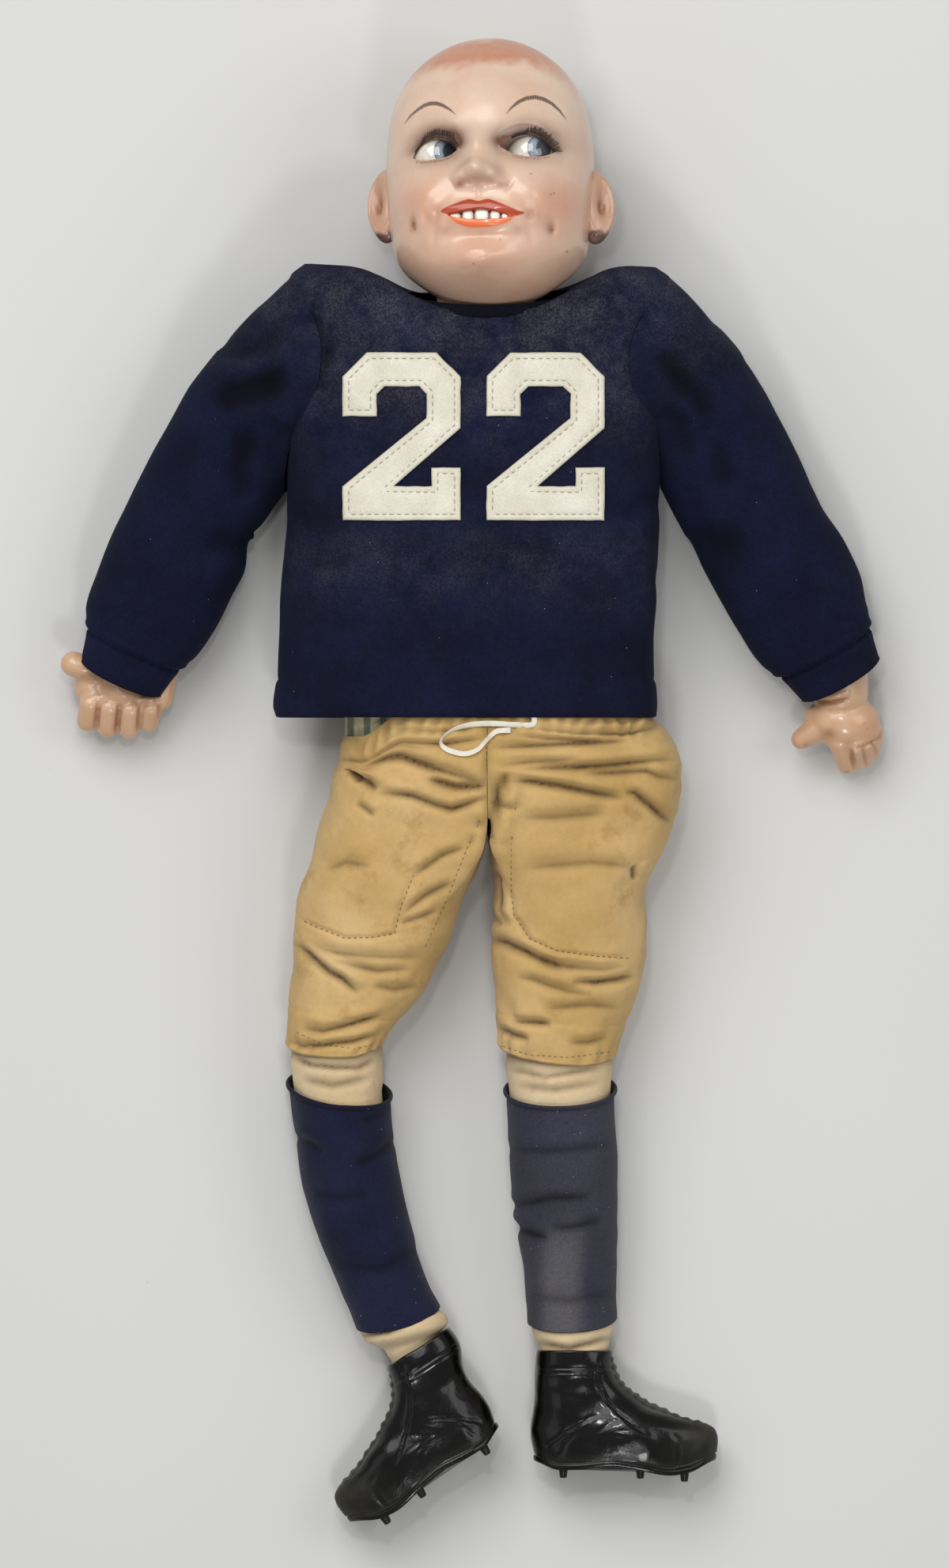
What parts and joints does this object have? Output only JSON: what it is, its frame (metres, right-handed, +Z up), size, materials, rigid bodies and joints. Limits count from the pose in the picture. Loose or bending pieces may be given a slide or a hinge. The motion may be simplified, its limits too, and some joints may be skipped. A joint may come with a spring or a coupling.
{
  "type": "football player doll",
  "caption": "Football player doll lying on its back: moulded head with glancing eyes, stuffed body, wool jersey, canvas knee pants, socks and studded boots.",
  "frame": {"origin": "centre of the bounding box at floor level, under the doll as it lies on its back", "axes": "+X to the doll's left, +Y from the boots to the crown of the head, +Z up from the floor, the way the chest faces"},
  "size_m": [0.4496, 0.8122, 0.1372],
  "materials": {
    "painted_composition": "glossy flesh-painted moulded composition",
    "ivory_enamel": "glossy ivory enamel",
    "eye_glass": "opal glass eyeball with blue-grey iris",
    "lash_hair": "dark brown hair",
    "tinned_steel": "dull tinned steel wire and plate",
    "lead": null,
    "navy_wool": "fuzzy navy wool jersey cloth",
    "cream_felt": "cream wool felt",
    "tan_canvas": "tan cotton canvas, worn",
    "muslin": "unbleached cotton muslin, stuffed",
    "sock_wool": "navy-grey knitted sock",
    "black_boot_paint": "glossy black painted moulded composition",
    "cotton_tape": "white cotton twill tape",
    "string": "waxed string"
  },
  "bodies": {
    "trunk": {"torso_body": "muslin", "jersey_body": "navy_wool", "jersey_neckband": "navy_wool", "numeral_right": "cream_felt", "numeral_left": "cream_felt", "pants_seat": "tan_canvas", "waist_drawstring": "cotton_tape", "neck_tie": "string"},
    "head": {"head_shell": "painted_composition", "teeth": "ivory_enamel", "eye_frame": "tinned_steel", "lashes_right": "lash_hair", "lashes_left": "lash_hair"},
    "eye_right": {"eyeball_right": "eye_glass"},
    "eye_left": {"eyeball_left": "eye_glass"},
    "eye_link": {"eye_tie_bar": "tinned_steel", "eye_weight": "lead"},
    "upper_arm_right": {"sleeve_upper_right": "navy_wool", "arm_core_right": "muslin"},
    "forearm_right": {"sleeve_lower_right": "navy_wool", "forearm_core_right": "muslin", "hand_right": "painted_composition", "wrist_tie_right": "string"},
    "thigh_right": {"pants_leg_right": "tan_canvas", "thigh_core_right": "muslin", "thigh_pad_right": "tan_canvas"},
    "shin_right": {"shin_core_right": "muslin", "sock_right": "sock_wool", "boot_right": "black_boot_paint", "stud_right_1": "black_boot_paint", "stud_right_2": "black_boot_paint", "stud_right_3": "black_boot_paint", "stud_right_4": "black_boot_paint", "stud_right_5": "black_boot_paint", "stud_right_6": "black_boot_paint"},
    "upper_arm_left": {"sleeve_upper_left": "navy_wool", "arm_core_left": "muslin"},
    "forearm_left": {"sleeve_lower_left": "navy_wool", "forearm_core_left": "muslin", "hand_left": "painted_composition", "wrist_tie_left": "string"},
    "thigh_left": {"pants_leg_left": "tan_canvas", "thigh_core_left": "muslin", "thigh_pad_left": "tan_canvas"},
    "shin_left": {"shin_core_left": "muslin", "sock_left": "sock_wool", "boot_left": "black_boot_paint", "stud_left_1": "black_boot_paint", "stud_left_2": "black_boot_paint", "stud_left_3": "black_boot_paint", "stud_left_4": "black_boot_paint", "stud_left_5": "black_boot_paint", "stud_left_6": "black_boot_paint"}
  },
  "joints": [
    {"name": "head_turn", "type": "hinge", "parent": "trunk", "child": "head", "pos_m": [0.006, 0.245, 0.052], "axis": [0, 1, 0], "range_deg": [-35, 35]},
    {"name": "glance_right", "type": "hinge", "parent": "head", "child": "eye_right", "pos_m": [-0.02076, 0.34117, 0.09285], "axis": [-0.0087, 0.9779, -0.2089], "range_deg": [-44, 0]},
    {"name": "glance_left", "type": "hinge", "parent": "head", "child": "eye_left", "pos_m": [0.02986, 0.3429, 0.09884], "axis": [-0.0087, 0.9779, -0.2089], "range_deg": [-44, 0]},
    {"name": "eye_link_slide", "type": "slide", "parent": "head", "child": "eye_link", "axis": [0.9925, 0.0339, 0.1174], "range_m": [0, 0.01426]},
    {"name": "shoulder_right", "type": "hinge", "parent": "trunk", "child": "upper_arm_right", "pos_m": [-0.1, 0.241, 0.048], "axis": [0, 0, -1], "range_deg": [0, 75]},
    {"name": "elbow_right", "type": "hinge", "parent": "upper_arm_right", "child": "forearm_right", "pos_m": [-0.15, 0.153, 0.0355], "axis": [-0.8914, 0.4533, 0], "range_deg": [0, 60]},
    {"name": "hip_right", "type": "hinge", "parent": "trunk", "child": "thigh_right", "pos_m": [-0.038, -0.003, 0.045], "axis": [-1, 0, 0], "range_deg": [0, 70]},
    {"name": "knee_right", "type": "hinge", "parent": "thigh_right", "child": "shin_right", "pos_m": [-0.075, -0.149, 0.0305], "axis": [1, -0.0032, 0], "range_deg": [0, 45]},
    {"name": "shoulder_left", "type": "hinge", "parent": "trunk", "child": "upper_arm_left", "pos_m": [0.105, 0.24, 0.048], "axis": [0, 0, 1], "range_deg": [0, 75]},
    {"name": "elbow_left", "type": "hinge", "parent": "upper_arm_left", "child": "forearm_left", "pos_m": [0.149, 0.148, 0.0355], "axis": [-0.8875, -0.4609, 0], "range_deg": [0, 60]},
    {"name": "hip_left", "type": "hinge", "parent": "trunk", "child": "thigh_left", "pos_m": [0.06, -0.003, 0.045], "axis": [-1, 0, 0], "range_deg": [0, 70]},
    {"name": "knee_left", "type": "hinge", "parent": "thigh_left", "child": "shin_left", "pos_m": [0.046, -0.153, 0.0305], "axis": [0.9998, -0.0195, 0], "range_deg": [0, 45]}
  ],
  "couplings": [
    {"joint": "glance_left", "follows": "glance_right", "ratio": 1},
    {"joint": "eye_link_slide", "follows": "glance_right", "m_per_rad": -0.018537}
  ]
}
